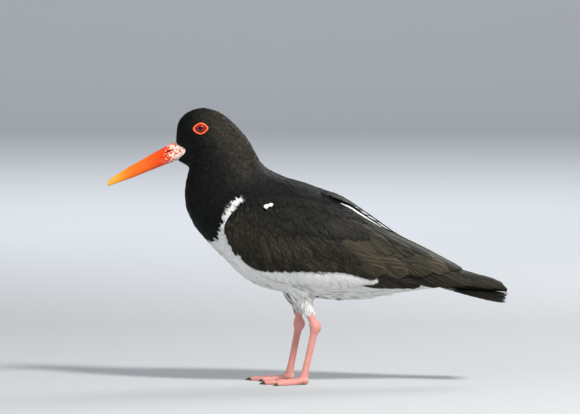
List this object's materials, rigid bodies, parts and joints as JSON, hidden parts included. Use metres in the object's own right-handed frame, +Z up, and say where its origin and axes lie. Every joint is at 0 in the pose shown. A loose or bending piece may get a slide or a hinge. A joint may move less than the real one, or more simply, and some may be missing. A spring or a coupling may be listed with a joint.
{
  "type": "oystercatcher",
  "caption": "Life-size oystercatcher, a pied wading bird with a long orange bill, standing at rest on pink legs with its wings folded.",
  "frame": {"origin": "on the floor, under the middle of the bird's box", "axes": "+X from bill to tail, +Z up, the bird's left side at -Y"},
  "size_m": [0.3608, 0.099, 0.2478],
  "materials": {
    "black_plumage": "soft, faintly glossy black feathers",
    "wing_plumage": "brown-black feathers with a white bar and pale fringes",
    "white_plumage": "matt white feathers, black on the breast and back",
    "tail_plumage": "black feathers, white at the root",
    "bill": "smooth satin horn, red-orange at the root and amber at the tip",
    "eyelid": "bare red-orange skin",
    "eye": "glossy dark red iris with a black pupil",
    "leg_skin": "scaled pink skin",
    "claw": "dark horn"
  },
  "bodies": {
    "root": {"head": "black_plumage", "neck": "black_plumage", "torso": "white_plumage", "bill_upper": "bill", "bill_lower": "bill", "eye_left": "eye", "eyelid_left": "eyelid", "wing_left": "wing_plumage", "eye_right": "eye", "eyelid_right": "eyelid", "wing_right": "wing_plumage", "tail": "tail_plumage", "thigh_left": "white_plumage", "shank_left": "leg_skin", "tarsus_left": "leg_skin", "foot_left": "leg_skin", "claw_left_inner": "claw", "claw_left_middle": "claw", "claw_left_outer": "claw", "thigh_right": "white_plumage", "shank_right": "leg_skin", "tarsus_right": "leg_skin", "foot_right": "leg_skin", "claw_right_inner": "claw", "claw_right_middle": "claw", "claw_right_outer": "claw"}
  },
  "joints": []
}
